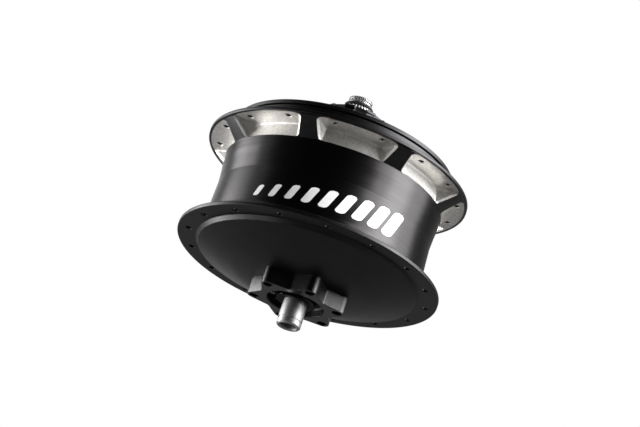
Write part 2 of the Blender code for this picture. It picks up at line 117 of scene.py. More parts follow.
STAGE_HALF = 6.0
FLOOR_Z = -1.2                 # low enough for the hub to be seen from below

# name, degrees round the hub, distance, width, length, power, slant
STRIP_LIGHTS = [
    ("low_wide", -88.0, 0.40, 0.26, 0.32, 2.1, 0.05),
    ("low_far", -95.0, 0.5, 0.25, 0.32, 0.3, -0.75),
    ("low_soft", -74.0, 0.40, 0.26, 0.72, 0.5, -0.25),
    ("low_core", -92.0, 0.36, 0.10, 0.35, 0.45, 0.08),
    ("low_fill", -80.0, 0.6, 0.4, 0.3, 1.2, 0.4),
    ("front_fill", -42.0, 0.7, 0.2, 0.2, 0.5, 0.6),
    ("high_wide", 87.0, 1.1, 1.4, 1.1, 38.0, -0.48),
    ("high_core", 83.0, 1.0, 0.45, 1.0, 13.0, -0.396),
]


def make_camera():
    """A long lens, rolled so that the hub hangs with its brake side down."""
    data = bpy.data.cameras.new("camera")
    data.sensor_width = SENSOR
    data.lens = LENS
    data.clip_start = 0.1
    data.clip_end = 100.0
    camera = bpy.data.objects.new("camera", data)
    bpy.context.scene.collection.objects.link(camera)
    azimuth, elevation, roll = (math.radians(v)
                                for v in (CAMERA_AZIMUTH, CAMERA_ELEVATION, CAMERA_ROLL))
    back = Vector((math.sin(azimuth) * math.cos(elevation),
                   -math.cos(azimuth) * math.cos(elevation), math.sin(elevation)))
    level_right = (-back).cross(Vector((0.0, 0.0, 1.0))).normalized()
    level_up = back.cross(level_right)
    right = level_right * math.cos(roll) + level_up * math.sin(roll)
    up = back.cross(right)
    place = Matrix((right, up, back)).transposed().to_4x4()
    place.translation = Vector(CAMERA_AIM) + back * CAMERA_DISTANCE
    camera.matrix_world = place
    bpy.context.scene.camera = camera


def pale_emitter():
    mat = bpy.data.materials.new("pale_studio")
    mat.use_nodes = True
    tree = mat.node_tree
    tree.nodes.clear()
    glow = tree.nodes.new("ShaderNodeEmission")
    glow.inputs["Color"].default_value = (1.0, 1.0, 1.0, 1.0)
    output = tree.nodes.new("ShaderNodeOutputMaterial")
    tree.links.new(glow.outputs["Emission"], output.inputs["Surface"])
    return mat


def camera_only(obj):
    """A stage piece that the camera sees and that the object neither mirrors nor is lit by."""
    obj.visible_glossy = False
    obj.visible_diffuse = False
    obj.visible_transmission = False
    obj.visible_shadow = False


def make_stage():
    """A pale floor inside a pale ball, both glowing evenly."""
    pale = pale_emitter()
    bm = bmesh.new()
    bmesh.ops.create_grid(bm, x_segments=1, y_segments=1, size=STAGE_HALF)
    floor = mesh_object("floor", bm, [pale])
    floor.location.z = FLOOR_Z
    camera_only(floor)
    bm = bmesh.new()
    bmesh.ops.create_icosphere(bm, subdivisions=4, radius=STAGE_HALF)
    camera_only(mesh_object("backdrop", bm, [pale]))


def strip_light(name, degrees, distance, width, length, power, slant):
    """A soft strip that lies along the hub, at an angle round its axis.

    The slant is how far it stands towards +Y for each metre away from the axis.
    """
    angle = math.radians(degrees)
    outward = Vector((math.cos(angle), slant, math.sin(angle))).normalized()
    data = bpy.data.lights.new(name, "AREA")
    data.shape = "RECTANGLE"
    data.size = width
    data.size_y = length
    data.energy = power
    light = bpy.data.objects.new(name, data)
    bpy.context.scene.collection.objects.link(light)
    across = outward.cross(Vector((0.0, 1.0, 0.0))).normalized()
    along = outward.cross(across)
    place = Matrix((across, along, outward)).transposed().to_4x4()
    place.translation = outward * distance
    light.matrix_world = place
    light.visible_camera = False


def direction_level(tree, direction, start, end, low, high):
    """A level that goes from low to high as the cosine to a direction goes from start to end."""
    place = add_node(tree, "ShaderNodeTexCoord")
    toward = add_node(tree, "ShaderNodeVectorMath", operation="DOT_PRODUCT")
    toward.inputs[1].default_value = direction
    tree.links.new(place.outputs["Generated"], toward.inputs[0])
    level = add_node(tree, "ShaderNodeMapRange", interpolation_type="SMOOTHSTEP",
                     inputs={"From Min": start, "From Max": end, "To Min": low, "To Max": high})
    tree.links.new(toward.outputs["Value"], level.inputs["Value"])
    return level.outputs["Result"]


def make_world():
    """A dim room, palest towards -X and the brake side, with a bright sweep low on that side."""
    world = bpy.data.worlds.new("studio")
    world.use_nodes = True
    tree = world.node_tree
    room = direction_level(tree, (-0.8, 0.6, 0.0), start=-0.7, end=0.7, low=0.03, high=0.28)
    sweep = direction_level(tree, (-0.78, -0.28, -0.56), start=0.9, end=0.99, low=0.0, high=0.8)
    total = add_node(tree, "ShaderNodeMath", operation="ADD")
    tree.links.new(room, total.inputs[0])
    tree.links.new(sweep, total.inputs[1])
    tree.links.new(total.outputs["Value"], tree.nodes["Background"].inputs["Color"])
    bpy.context.scene.world = world


def make_lights():
    make_world()
    for light in STRIP_LIGHTS:
        strip_light(*light)
    bpy.context.scene.view_settings.view_transform = "Standard"


# ---- mesh helpers ------------------------------------------------------------------------------

def polar(r, degrees, a):
    """A point at radius r, turned from +X towards +Z, at a along the axis (mm)."""
    angle = math.radians(degrees)
    return (r * math.cos(angle), a, r * math.sin(angle))


def turned_point(u, v, angle, *rest):
    """A flat point turned by an angle in radians, with the rest of its values behind it."""
    return (u * math.cos(angle) - v * math.sin(angle), u * math.sin(angle) + v * math.cos(angle),
            *rest)


def ring_angles(count, first=0.0):
    return [first + 360.0 * i / count for i in range(count)]


def shade(mesh):
    mesh.shade_smooth()
    mesh.set_sharp_from_angle(angle=math.radians(SHARP_ANGLE))


def mesh_object(name, bm, mats):
    """Weld and free a bmesh, and link its object."""
    bmesh.ops.remove_doubles(bm, verts=bm.verts, dist=WELD)
    bmesh.ops.recalc_face_normals(bm, faces=bm.faces)
    mesh = bpy.data.meshes.new(name)
    bm.to_mesh(mesh)
    bm.free()
    shade(mesh)
    obj = bpy.data.objects.new(name, mesh)
    bpy.context.scene.collection.objects.link(obj)
    for mat in mats:
        mesh.materials.append(mat)
    return obj


def fillet_arc(before, corner, after, radius, steps):
    """Points of an arc that rounds a corner; it shrinks where the two edges are short."""
    straight, edge_share = 0.02, 0.48
    to_before, to_after = before - corner, after - corner
    turn = math.pi - to_before.angle(to_after, math.pi)
    if turn < straight or radius <= 0.0:
        return [corner] * (steps + 1)
    reach = radius * math.tan(turn / 2.0)
    reach = min(reach, edge_share * to_before.length, edge_share * to_after.length)
    start = corner + to_before.normalized() * reach
    end = corner + to_after.normalized() * reach
    weight = math.cos(turn / 2.0)
    points = []
    for i in range(steps + 1):
        s = i / steps
        parts = ((1.0 - s) ** 2, 2.0 * s * (1.0 - s) * weight, s ** 2)
        points.append((start * parts[0] + corner * parts[1] + end * parts[2]) / sum(parts))
    return points


def fillet_of(point):
    return point[2] if len(point) > 2 else EDGE


def rounded(points, closed, steps=ARC_STEPS):
    """Every corner with its own fillet, which is its third value, or with the usual one."""
    flat = [Vector(p[:2]) for p in points]
    count = len(flat)
    out = []
    for i, corner in enumerate(flat):
        if not closed and i in (0, count - 1):
            out.append(corner)
            continue
        out += fillet_arc(flat[i - 1], corner, flat[(i + 1) % count], fillet_of(points[i]), steps)
    return [(p.x, p.y) for p in out]


def inset_outline(points, distance):
    """A closed outline drawn in by a distance, with mitred corners; fillets shrink with it."""
    flat = [Vector(p[:2]) for p in points]
    area = sum(p.cross(q) for p, q in zip(flat, flat[1:] + flat[:1]))
    side = 1.0 if area > 0.0 else -1.0
    out = []
    for i, corner in enumerate(flat):
        into = (corner - flat[i - 1]).normalized()
        onward = (flat[(i + 1) % len(flat)] - corner).normalized()
        normal_in = Vector((-into.y, into.x)) * side
        normal_on = Vector((-onward.y, onward.x)) * side
        bisector = (normal_in + normal_on) / (1.0 + normal_in.dot(normal_on))
        moved = corner + bisector * distance
        out.append((moved.x, moved.y, max(fillet_of(points[i]) - distance, LEAST_FILLET)))
    return out


def add_turned(bm, profile, segments, centre=(0.0, 0.0)):
    """Spin a profile of (a, r) about the line through centre=(x, z), parallel to +Y."""
    x0, z0 = centre
    least = 1e-5
    kept = [p for i, p in enumerate(profile) if i == 0 or math.dist(p, profile[i - 1]) > least]
    verts = [bm.verts.new(((x0 + r) * MM, a * MM, z0 * MM)) for a, r in kept]
    edges = [bm.edges.new(pair) for pair in zip(verts, verts[1:])]
    if kept[0][1] > 0.0 or kept[-1][1] > 0.0:
        edges.append(bm.edges.new((verts[-1], verts[0])))
    bmesh.ops.spin(bm, geom=verts + edges, cent=(x0 * MM, 0.0, z0 * MM), axis=(0.0, 1.0, 0.0),
                   angle=2.0 * math.pi, steps=segments, use_merge=True)


def turned(name, profile, mats, segments=SMALL_ROUND):
    """A turned piece. A profile that starts on the axis is open, and any other is a loop."""
    closed = profile[0][1] > 0.0
    bm = bmesh.new()
    add_turned(bm, rounded(profile, closed), segments)
    return mesh_object(name, bm, mats)


def add_loft(bm, rings):
    """Skin a list of equal rings of (x, y, z) points in mm, and cap both ends."""
    loops = [[bm.verts.new([c * MM for c in point]) for point in ring] for ring in rings]
    for low, high in zip(loops, loops[1:]):
        for i in range(len(low)):
            j = (i + 1) % len(low)
            bm.faces.new((low[i], low[j], high[j], high[i]))
    bm.faces.new(loops[0])
    bm.faces.new(loops[-1])


def add_block(bm, outline, a0, a1, chamfer=0.0):
    """Extrude an outline from a0 to a1, with its far end drawn in by a rounded chamfer."""
    toward = 1.0 if a1 > a0 else -1.0
    levels = [(a0, 0.0)]
    if chamfer == 0.0:
        levels.append((a1, 0.0))
    else:
        for i in range(BLOCK_STEPS + 1):
            t = math.pi / 2.0 * i / BLOCK_STEPS
            levels.append((a1 - toward * chamfer * (1.0 - math.sin(t)),
                           chamfer * (1.0 - math.cos(t))))
    rings = []
    for a, inset in levels:
        ring = rounded(inset_outline(outline, inset), True, BLOCK_STEPS)
        rings.append([(x, a, z) for x, z in ring])
    add_loft(bm, rings)


def turned_box(r0, r1, half_width, degrees, fillet=EDGE):
    """Outline of a box that lies along a radius."""
    corners = [(r0, -half_width), (r1, -half_width), (r1, half_width), (r0, half_width)]
    return [turned_point(u, v, math.radians(degrees), fillet) for u, v in corners]


def add_rod(bm, start, end, radius, sides):
    start, end = Vector(start) * MM, Vector(end) * MM
    along = end - start
    turn = along.to_track_quat("Z", "Y").to_matrix().to_4x4()
    place = Matrix.Translation((start + end) / 2) @ turn
    bmesh.ops.create_cone(bm, cap_ends=True, segments=sides, radius1=radius * MM,
                          radius2=radius * MM, depth=along.length, matrix=place)


def modify(obj, operation, tool):
    """Queue a Boolean, which settled() applies. New faces keep their tool's material."""
    boolean = obj.modifiers.new(tool.name, "BOOLEAN")
    boolean.operation = operation
    boolean.material_mode = "TRANSFER"
    boolean.object = tool


def settled(obj):
    """Apply a piece's Booleans, drop their tools and shade the result again."""
    tools = [m.object for m in obj.modifiers if m.type == "BOOLEAN"]
    depsgraph = bpy.context.evaluated_depsgraph_get()
    mesh = bpy.data.meshes.new_from_object(obj.evaluated_get(depsgraph))
    obj.modifiers.clear()
    obj.data = mesh
    for tool in tools:
        bpy.data.objects.remove(tool, do_unlink=True)
    shade(mesh)
    flatter = obj.modifiers.new("flat_faces", "WEIGHTED_NORMAL")
    flatter.keep_sharp = True
    return obj


def toothed_outline(teeth, root_r, tip_r, tip_share, flank_share, fillet=0.1):
    """Outline of a toothed ring; a tooth's tip and each of its flanks take a share of a pitch."""
    points = []
    pitch = 360.0 / teeth
    for i in range(teeth):
        middle = i * pitch
        for r, offset in ((root_r, -tip_share / 2 - flank_share), (tip_r, -tip_share / 2),
                          (tip_r, tip_share / 2), (root_r, tip_share / 2 + flank_share)):
            x, _, z = polar(r, middle + offset * pitch, 0.0)
            points.append((x, z, fillet))
    return points


def hole_tool(name, angles, circle_r, hole_r, a0, a1, mats, chamfer=HOLE_CHAMFER, sides=20):
    """Drilled holes from a0 to a1, each with a countersink at both faces.

    The drilled walls take the last material, and the countersinks the first.
    """
    past, wall_slope = 0.6, 0.1
    profile = [(a0 - past, 0.0), (a0 - past, hole_r + chamfer + past), (a0, hole_r + chamfer),
               (a0 + chamfer, hole_r), (a1 - chamfer, hole_r), (a1, hole_r + chamfer),
               (a1 + past, hole_r + chamfer + past), (a1 + past, 0.0)]
    bm = bmesh.new()
    for degrees in angles:
        x, _, z = polar(circle_r, degrees, 0.0)
        add_turned(bm, profile, sides, (x, z))
    tool = mesh_object(name, bm, mats)
    for face in tool.data.polygons:
        if abs(face.normal.y) < wall_slope:
            face.material_index = len(mats) - 1
    return tool


def stands_for(piece, node):
    """Put a piece in a CAD node's place, on that node's body."""
    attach(piece, BODY_OF[node])
    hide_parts(node)


# ---- materials ---------------------------------------------------------------------------------

def add_node(tree, kind, inputs=(), **settings):
    node = tree.nodes.new(kind)
    for key, value in settings.items():
        setattr(node, key, value)
    for key, value in dict(inputs).items():
        node.inputs[key].default_value = value
    return node


def turned_coordinates(tree, around, across):
    """Coordinates that change fast along a section and slowly round the hub axis."""
    radius_weight = 1.37       # with 1, a 45 degree cone would get no lines
    place = add_node(tree, "ShaderNodeTexCoord")
    parts = add_node(tree, "ShaderNodeSeparateXYZ")
    tree.links.new(place.outputs["Object"], parts.inputs["Vector"])
    flat = add_node(tree, "ShaderNodeVectorMath", operation="MULTIPLY")
    flat.inputs[1].default_value = (1.0, 0.0, 1.0)
    tree.links.new(place.outputs["Object"], flat.inputs[0])
    radius = add_node(tree, "ShaderNodeVectorMath", operation="LENGTH")
    tree.links.new(flat.outputs["Vector"], radius.inputs[0])
    unit = add_node(tree, "ShaderNodeVectorMath", operation="NORMALIZE")
    tree.links.new(flat.outputs["Vector"], unit.inputs[0])
    slow = add_node(tree, "ShaderNodeVectorMath", operation="SCALE", inputs={"Scale": around})
    tree.links.new(unit.outputs["Vector"], slow.inputs[0])
    section = add_node(tree, "ShaderNodeMath", operation="MULTIPLY_ADD")
    section.inputs[1].default_value = radius_weight
    tree.links.new(radius.outputs["Value"], section.inputs[0])
    tree.links.new(parts.outputs["Y"], section.inputs[2])
    fast = add_node(tree, "ShaderNodeMath", operation="MULTIPLY")
    fast.inputs[1].default_value = across
    tree.links.new(section.outputs["Value"], fast.inputs[0])
    joined = add_node(tree, "ShaderNodeCombineXYZ")
    tree.links.new(fast.outputs["Value"], joined.inputs["Y"])
    total = add_node(tree, "ShaderNodeVectorMath", operation="ADD")
    tree.links.new(slow.outputs["Vector"], total.inputs[0])
    tree.links.new(joined.outputs["Vector"], total.inputs[1])
    return total.outputs["Vector"]


def brushed(tree):
    return turned_coordinates(tree, 1.5, 1000.0)


def fine_turned(tree):
    return turned_coordinates(tree, 0.8, 1400.0)


def cast(tree):
    """The same grain in every direction."""
    return add_node(tree, "ShaderNodeTexCoord").outputs["Object"]


def noise(tree, vector, scale, detail, roughness):
    node = add_node(tree, "ShaderNodeTexNoise",
                    inputs={"Scale": scale, "Detail": detail, "Roughness": roughness})
    tree.links.new(vector, node.inputs["Vector"])
    return node.outputs["Fac"]


def ranged(tree, value, low, high):
    """A noise value, whose middle part is spread over a range."""
    node = add_node(tree, "ShaderNodeMapRange", inputs={"From Min": 0.3, "From Max": 0.7,
                                                        "To Min": low, "To Max": high})
    tree.links.new(value, node.inputs["Value"])
    return node.outputs["Result"]


def tinted(tree, value, dark, light):
    node = add_node(tree, "ShaderNodeMix", data_type="RGBA")
    node.inputs["A"].default_value = (*dark, 1.0)
    node.inputs["B"].default_value = (*light, 1.0)
    spread = ranged(tree, value, 0.0, 1.0)
    tree.links.new(spread, node.inputs["Factor"])
    return node.outputs["Result"]


def bumped(tree, height, distance, edge_radius):
    """Relief of a texture over edges that are softened by a small radius."""
    edge = add_node(tree, "ShaderNodeBevel", samples=4, inputs={"Radius": edge_radius * MM})
    bump = add_node(tree, "ShaderNodeBump", inputs={"Strength": 1.0, "Distance": distance * MM})
    tree.links.new(height, bump.inputs["Height"])
    tree.links.new(edge.outputs["Normal"], bump.inputs["Normal"])
    return bump.outputs["Normal"]


def surface(name, coordinates, tones, rough, scales, relief, edge_radius=0.15, metallic=1.0,
            tint=1.0, around=None, specular=None):
    """A finish with a tone that drifts, a grain in its roughness and a relief in its normals.

    Tones and rough are ranges, scales are those of the tone and the grain, and around is the
    anisotropy of lines that run round the hub axis.
    """
    mat = bpy.data.materials.new(name)
    mat.use_nodes = True
    tree = mat.node_tree
    shader = tree.nodes["Principled BSDF"]
    shader.inputs["Metallic"].default_value = metallic
    shader.inputs["Specular Tint"].default_value = (*grey(tint), 1.0)
    if specular is not None:
        shader.inputs["Specular IOR Level"].default_value = specular
    vector = coordinates(tree)
    tone = noise(tree, vector, scales[0], detail=3.0, roughness=0.55)
    grain = noise(tree, vector, scales[1], detail=4.0, roughness=0.6)
    tree.links.new(tinted(tree, tone, *tones), shader.inputs["Base Color"])
    tree.links.new(ranged(tree, grain, *rough), shader.inputs["Roughness"])
    tree.links.new(bumped(tree, grain, relief, edge_radius), shader.inputs["Normal"])
    if around is not None:
        direction = add_node(tree, "ShaderNodeTangent", direction_type="RADIAL", axis="Y")
        shader.inputs["Anisotropic"].default_value = around
        shader.inputs["Anisotropic Rotation"].default_value = 0.25
        tree.links.new(direction.outputs["Tangent"], shader.inputs["Tangent"])
    mat.diffuse_color = (*tones[1], 1.0)
    return mat


def grey(level):
    return (level, level, level)


FINISHES = {
    "anodised_barrel": {
        "coordinates": brushed, "tones": ((0.026, 0.025, 0.0255), (0.031, 0.03, 0.0305)),
        "rough": (0.27, 0.305), "scales": (1.1, 2.3), "relief": 0.0009, "tint": 0.7,
        "around": 0.4},
    "anodised_satin": {
        "coordinates": cast, "tones": ((0.029, 0.029, 0.03), (0.035, 0.035, 0.036)),
        "rough": (0.36, 0.44), "scales": (90.0, 2600.0), "relief": 0.008, "edge_radius": 0.22,
        "tint": 0.85, "around": 0.2},
    "anodised_boss": {
        "coordinates": cast, "tones": ((0.03, 0.03, 0.031), (0.04, 0.04, 0.041)),
        "rough": (0.27, 0.35), "scales": (200.0, 900.0), "relief": 0.002, "edge_radius": 0.25},
    "bare_aluminium": {
        "coordinates": cast, "tones": ((0.55, 0.535, 0.515), (0.78, 0.765, 0.74)),
        "rough": (0.46, 0.56), "scales": (900.0, 2300.0), "relief": 0.09, "edge_radius": 0.3},
    "bright_steel": {
        "coordinates": fine_turned, "tones": (grey(0.27), grey(0.34)), "rough": (0.47, 0.56),
        "scales": (1.0, 2.6), "relief": 0.0012, "around": 0.3},
    "knurled_steel": {
        "coordinates": cast, "tones": (grey(0.34), grey(0.42)), "rough": (0.38, 0.48),
        "scales": (700.0, 2400.0), "relief": 0.004},
    "ground_steel": {
        "coordinates": fine_turned, "tones": ((0.46, 0.47, 0.49), (0.58, 0.59, 0.61)),
        "rough": (0.18, 0.3), "scales": (1.0, 3.0), "relief": 0.001},
    # black oxide steel, and also painted shade between the teeth of the shift head's knurl
    "black_steel": {
        "coordinates": fine_turned, "tones": ((0.026, 0.026, 0.028), (0.044, 0.044, 0.047)),
        "rough": (0.3, 0.42), "scales": (1.2, 2.2), "relief": 0.0012, "edge_radius": 0.12,
        "tint": 0.5},
    "black_rubber": {
        "coordinates": cast, "tones": (grey(0.01), grey(0.016)), "rough": (0.6, 0.75),
        "scales": (300.0, 1500.0), "relief": 0.01, "edge_radius": 0.1, "metallic": 0.0,
        "specular": 0.15},
    "bronze": {
        "coordinates": cast, "tones": ((0.38, 0.24, 0.11), (0.5, 0.34, 0.17)),
        "rough": (0.32, 0.45), "scales": (500.0, 2400.0), "relief": 0.006},
    "white_print": {
        "coordinates": cast, "tones": (grey(0.78), grey(0.86)), "rough": (0.4, 0.5),
        "scales": (350.0, 1800.0), "relief": 0.004, "edge_radius": 0.05, "metallic": 0.0},
}


# ---- shell -------------------------------------------------------------------------------------

DOME = [(44.4, 0.0), (44.4, 16.0, 3.0), (43.9, 26.0, 60.0), (41.7, 36.0, 60.0),
        (38.4, 46.0, 60.0), (34.3, 57.2, 0.8)]
BARREL = [(23.5, 57.2, 8.0), (14.0, 56.8, 40.0), (3.0, 56.3, 0.6), (-4.0, 56.75, 20.0),
          (-8.0, 57.2, 12.0), (BARREL_END, BARREL_R, 0.25)]
OUTSIDE_R = 56.0               # the barrel and the flanges lie beyond it
BRUSHED_FROM, BRUSHED_TO = -12.0, 27.0
BOSS_BASE = 42.0               # inside the wall of the dome


def shell_profile():
    """The shell's section, from the middle of the dome round to the middle of its inner face."""
    brake_flange = [(BRAKE_FLANGE_FACE, 58.8, 0.6), (BRAKE_FLANGE_FACE, FLANGE_R, 0.6),
                    (BRAKE_FLANGE_BACK, FLANGE_R, 0.6), (BRAKE_FLANGE_BACK, 62.2, 2.0),
                    (28.6, 59.6, 3.0), (26.6, 58.0, 4.0)]
    drive_flange = [(DRIVE_FLANGE_UNDERSIDE, FLARE_R, 0.3),
                    (DRIVE_FLANGE_UNDERSIDE, FLANGE_R, 0.5), (DRIVE_FLANGE_FACE, FLANGE_R, 0.5),
                    (DRIVE_FLANGE_FACE, 59.2, 1.0), (-24.8, 57.3, 1.4), (SHELL_END, 57.3, 0.3)]
    seal_step = [(SHELL_END, 55.4, 0.2), (-28.9, 55.4, 0.2), (-28.9, COVER_BORE_R, 0.2)]
    inside = [(-20.5, COVER_BORE_R), (-20.5, SHELL_BORE_R), (28.5, SHELL_BORE_R, 2.0),
              (32.5, 48.5, 4.0), (38.0, 33.0, 20.0), (39.2, 26.0, 8.0), (39.2, 0.0)]
    return DOME + brake_flange + BARREL + drive_flange + seal_step + inside


def boss_outline():
    """Six lobes, each an arc round its bolt, with straight flanks down to a filleted valley."""
    lobe_r, valley_r, valley_fillet, arc_steps = 3.7, 18.7, 2.2, 10
    half_pitch = math.pi / BOSS_BOLTS
    to_valley = Vector((valley_r * math.cos(half_pitch) - BOLT_CIRCLE_R,
                        valley_r * math.sin(half_pitch)))
    arc_end = math.atan2(to_valley.y, to_valley.x) - math.acos(lobe_r / to_valley.length)
    points = []
    for middle in ring_angles(BOSS_BOLTS, BOSS_PHASE):
        for i in range(arc_steps + 1):
            t = arc_end * (2.0 * i / arc_steps - 1.0)
            points.append(turned_point(BOLT_CIRCLE_R + lobe_r * math.cos(t),
                                       lobe_r * math.sin(t), math.radians(middle), EDGE))
        x, _, z = polar(valley_r, middle + 180.0 / BOSS_BOLTS, 0.0)
        points.append((x, z, valley_fillet))
    return points


def pocket_ring(middle, a, inset):
    """Plan of a flange pocket at a: a back wall, two sides and an eased mouth.

    Its corners are in degrees from the middle and radius. The mouth's sides draw in towards the
    rim, so that the opening in the flare has round corners.
    """
    back_half, side_slope, draft = 15.9, 0.22, 1.7
    mouth_corner, eased, ease_depth = 3.4, 1.1, 1.2
    least_depth, past_flare, past_rim = 0.3, 0.5, 2.0
    corner_steps, arc_pieces, arc_from = 5, 12, 10.0
    rise = BARREL_END - DRIVE_FLANGE_UNDERSIDE
    back = POCKET_WALL_R + inset + draft * (a - DRIVE_FLANGE_UNDERSIDE) / rise
    flare_r = BARREL_R + (BARREL_END - a) * (FLARE_R - BARREL_R) / rise
    from_rim = (a - DRIVE_FLANGE_UNDERSIDE) * math.hypot(1.0, (FLARE_R - BARREL_R) / rise)
    short = max(0.0, mouth_corner - from_rim)
    drawn_in = mouth_corner - math.sqrt(mouth_corner ** 2 - short ** 2)
    side_r = max(flare_r - ease_depth, back + least_depth)
    mouth_r = flare_r + past_flare

    def half(r):
        return back_half + side_slope * (r - POCKET_WALL_R) - inset

    mouth_half = half(mouth_r) + eased - drawn_in
    right = [(half(POCKET_WALL_R), back, 1.1), (half(side_r), side_r, 1.4),
             (mouth_half, mouth_r, 0.5), (mouth_half, FLANGE_R + past_rim, 0.1)]
    left = [(-degrees, r, fillet) for degrees, r, fillet in reversed(right)]
    corners = rounded(right + left, True, corner_steps)
    ring = []
    for i, (degrees, r) in enumerate(corners):
        onward = corners[(i + 1) % len(corners)]
        pieces = arc_pieces if abs(onward[0] - degrees) > arc_from else 1
        for k in range(pieces):
            s = k / pieces
            ring.append(polar(r + (onward[1] - r) * s,
                              middle + degrees + (onward[0] - degrees) * s, a))
    return ring


def pocket_tool(mat):
    """All pockets: a fillet round each roof, and walls that close in just past the barrel."""
    fillet, steps = 1.3, 5
    levels = []
    for i in range(steps + 1):
        t = math.pi / 2.0 * i / steps
        levels.append((DRIVE_FLANGE_UNDERSIDE + fillet * (1.0 - math.cos(t)),
                       fillet * (1.0 - math.sin(t))))
    levels += [(BARREL_END - 4.0, 0.0), (BARREL_END - 1.0, 0.0), (BARREL_END - 0.3, 0.25),
               (BARREL_END + 0.1, 0.7)]
    bm = bmesh.new()
    for middle in ring_angles(POCKETS, PHASE):
        add_loft(bm, [pocket_ring(middle, a, inset) for a, inset in levels])
    return mesh_object("pocket_tool", bm, [mat])


def finish_outside(shell, satin, barrel, boss):
    """Brush the barrel, and give the ribs between the pockets the smoother finish of the boss."""
    satin_slot, barrel_slot, boss_slot = (list(shell.data.materials).index(mat)
                                          for mat in (satin, barrel, boss))
    for face in shell.data.polygons:
        x, a, z = face.center / MM
        if face.material_index == satin_slot and math.hypot(x, z) > OUTSIDE_R:
            if BRUSHED_FROM < a < BRUSHED_TO:
                face.material_index = barrel_slot
            elif DRIVE_FLANGE_UNDERSIDE < a < BARREL_END:
                face.material_index = boss_slot


def make_shell(mats):
    satin, barrel = mats["anodised_satin"], mats["anodised_barrel"]
    boss, bare = mats["anodised_boss"], mats["bare_aluminium"]
    shell = turned("hub_shell_skin", shell_profile(), [satin, barrel, bare], ROUND)
    bm = bmesh.new()
    add_block(bm, boss_outline(), BOSS_BASE, BOSS_FACE, 0.35)
    modify(shell, "UNION", mesh_object("boss_tool", bm, [boss]))
    bore = [(BOSS_FACE + 1.4, 0.0), (BOSS_FACE + 1.4, BEARING_BORE_R + 1.8, 0.0),
            (BOSS_FACE - 0.4, BEARING_BORE_R, 0.2), (40.9, BEARING_BORE_R, 0.2),
            (40.9, 12.4, 0.2), (38.0, 12.4, 0.0), (38.0, 0.0)]
    modify(shell, "DIFFERENCE", turned("bearing_bore_tool", bore, [satin]))
    groove = [(47.9, 14.0, 0.0), (47.9, 15.4, 0.0), (49.1, 15.4, 0.0), (49.1, 14.0, 0.0)]
    modify(shell, "DIFFERENCE", turned("ring_groove_tool", groove, [satin]))
    modify(shell, "DIFFERENCE",
           hole_tool("bolt_hole_tool", ring_angles(BOSS_BOLTS, BOSS_PHASE), BOLT_CIRCLE_R,
                     BOLT_HOLE_R, 43.4, BOSS_FACE, [satin], chamfer=0.25, sides=32))
    modify(shell, "DIFFERENCE", pocket_tool(bare))
    modify(shell, "DIFFERENCE",
           hole_tool("brake_hole_tool", ring_angles(SPOKES_PER_FLANGE, PHASE), SPOKE_CIRCLE_R,
                     SPOKE_HOLE_R, BRAKE_FLANGE_BACK, BRAKE_FLANGE_FACE, [satin]))
    half_pitch = 180.0 / SPOKES_PER_FLANGE
    modify(shell, "DIFFERENCE",
           hole_tool("drive_hole_tool", ring_angles(SPOKES_PER_FLANGE, PHASE + half_pitch),
                     SPOKE_CIRCLE_R, SPOKE_HOLE_R, DRIVE_FLANGE_FACE, DRIVE_FLANGE_UNDERSIDE,
                     [bare, satin], chamfer=0.3))
    settled(shell)
    finish_outside(shell, satin, barrel, boss)
    stands_for(shell, "hub_shell")


def barrel_radius(a):
    """The barrel's radius at a, on the straight lines between the points of its profile."""
    points = [p[:2] for p in reversed(BARREL)]
    for (a0, r0), (a1, r1) in zip(points, points[1:]):
        if a0 <= a <= a1:
            return r0 + (r1 - r0) * (a - a0) / (a1 - a0)
    return points[-1][1]


def add_bar(bm, middle, height, half_width):
    """One slanted bar with round corners, as a patch just off the barrel; widths are degrees."""
    columns, rows = 6, 14
    base_a, lean, set_back, proud = 20.6, 0.42, 2.5, 0.05
    corner = 0.55 * half_width
    grid = []
    for v in range(rows + 1):
        up = height * v / rows
        a = base_a - up
        radius = barrel_radius(a) + proud
        from_end = min(up, height - up)
        trim = 0.0
        if from_end < corner:
            trim = corner - math.sqrt(max(0.0, corner ** 2 - (corner - from_end) ** 2))
        row = []
        for u in range(columns + 1):
            across = (2.0 * u / columns - 1.0) * (half_width - trim)
            degrees = middle + across + math.degrees(lean * up / radius) - set_back
            row.append(bm.verts.new([c * MM for c in polar(radius, degrees, a)]))
        grid.append(row)
    for low, high in zip(grid, grid[1:]):
        for u in range(columns):
            bm.faces.new((low[u], low[u + 1], high[u + 1], high[u]))


def make_graphic(mats):
    """A plain printed scale: slanted bars that grow round the barrel."""
    bars, first, last = 9, -20.0, 52.0
    thickness = 0.09
    bm = bmesh.new()
    for i in range(bars):
        share = i / (bars - 1)
        add_bar(bm, middle=first + (last - first) / (bars - 1) * i,
                height=6.0 + 8.6 * share, half_width=1.5 + 2.0 * share)
    bmesh.ops.solidify(bm, geom=bm.faces[:], thickness=thickness * MM)
    graphic = mesh_object("shell_graphic", bm, [mats["white_print"]])
    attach(graphic, "shell")


